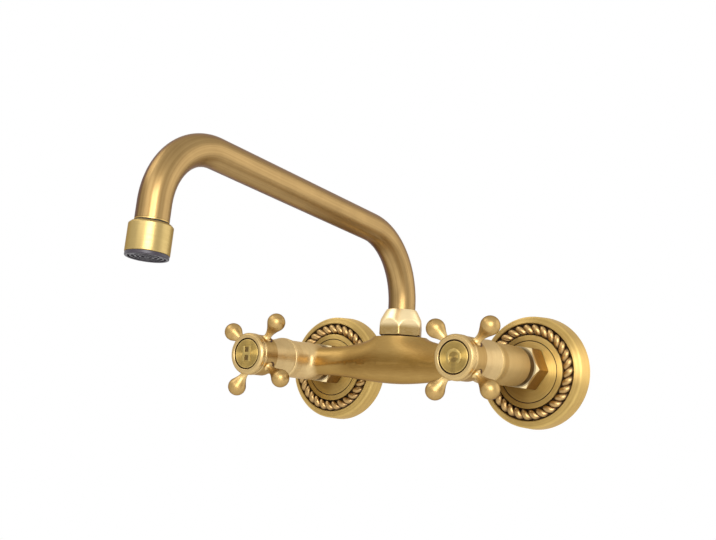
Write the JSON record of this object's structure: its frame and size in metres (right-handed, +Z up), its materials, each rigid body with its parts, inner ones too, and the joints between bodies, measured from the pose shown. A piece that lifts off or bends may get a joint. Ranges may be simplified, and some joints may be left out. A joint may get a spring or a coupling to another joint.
{
  "type": "wall-mounted kitchen faucet",
  "caption": "Wall-mounted bridge kitchen faucet in brushed antique brass, with cross handles, rope-edged wall flanges and a swivelling bent tube spout.",
  "frame": {"origin": "on the finished wall's face, midway between the centres of the two inlets", "axes": "+X right along the wall, +Y into the wall, +Z up; the faucet stands at negative Y"},
  "size_m": [0.22, 0.2943, 0.1401],
  "materials": {
    "body_brass": "brushed antique brass",
    "flange_brass": "brushed antique brass",
    "union_brass": "brushed antique brass",
    "shroud_brass": "finely turned antique brass",
    "handle_brass": "polished and toned antique brass",
    "cap_brass": "finely turned antique brass",
    "nut_brass": "brushed antique brass",
    "tube_brass": "drawn and brushed antique brass",
    "pale_brass": "satin pale brass",
    "plain_brass": "bare turned brass",
    "rubber": "matt",
    "fibre": "matt red fibre",
    "ceramic": "ground alumina",
    "steel": "plain stainless steel",
    "white_plastic": "smooth white acetal",
    "dark_plastic": "moulded dark plastic"
  },
  "bodies": {
    "faucet_base": {"body": "body_brass", "wall_flange_left": "flange_brass", "eccentric_left": "plain_brass", "union_nut_left": "union_brass", "union_washer_left": "rubber", "inlet_nipple_left": "plain_brass", "valve_bonnet_left": "plain_brass", "disc_fixed_left": "ceramic", "seat_seal_left": "rubber", "bonnet_seal_left": "fibre", "bonnet_shroud_left": "shroud_brass", "wall_flange_right": "flange_brass", "eccentric_right": "plain_brass", "union_nut_right": "union_brass", "union_washer_right": "rubber", "inlet_nipple_right": "plain_brass", "valve_bonnet_right": "plain_brass", "disc_fixed_right": "ceramic", "seat_seal_right": "rubber", "bonnet_seal_right": "fibre", "bonnet_shroud_right": "shroud_brass", "spout_nut": "nut_brass", "slip_ring": "white_plastic"},
    "hot_handle": {"cross_handle_left": "handle_brass", "index_cap_left": "cap_brass", "handle_screw_left": "steel", "valve_spindle_left": "plain_brass", "disc_moving_left": "ceramic", "spindle_o_rings_left": "rubber", "spindle_clip_left": "steel"},
    "cold_handle": {"cross_handle_right": "handle_brass", "index_cap_right": "cap_brass", "handle_screw_right": "steel", "valve_spindle_right": "plain_brass", "disc_moving_right": "ceramic", "spindle_o_rings_right": "rubber", "spindle_clip_right": "steel"},
    "spout": {"spout_tube": "tube_brass", "spout_tail": "plain_brass", "spout_o_rings": "rubber", "outlet_ferrule": "plain_brass", "aerator_gasket": "rubber", "aerator_housing": "pale_brass", "aerator_washer": "rubber", "aerator_screen": "steel", "aerator_insert": "dark_plastic"}
  },
  "joints": [
    {"name": "spout_swivel", "type": "hinge", "parent": "faucet_base", "child": "spout", "pos_m": [0, -0.0443, 0.0306], "axis": [0, 0, 1], "range_deg": [-90, 90]},
    {"name": "hot_handle_turn", "type": "hinge", "parent": "faucet_base", "child": "hot_handle", "pos_m": [-0.075, -0.0943, 0.002], "axis": [0, -1, 0], "range_deg": [0, 90]},
    {"name": "cold_handle_turn", "type": "hinge", "parent": "faucet_base", "child": "cold_handle", "pos_m": [0.075, -0.0943, 0.002], "axis": [0, -1, 0], "range_deg": [0, 90]}
  ]
}
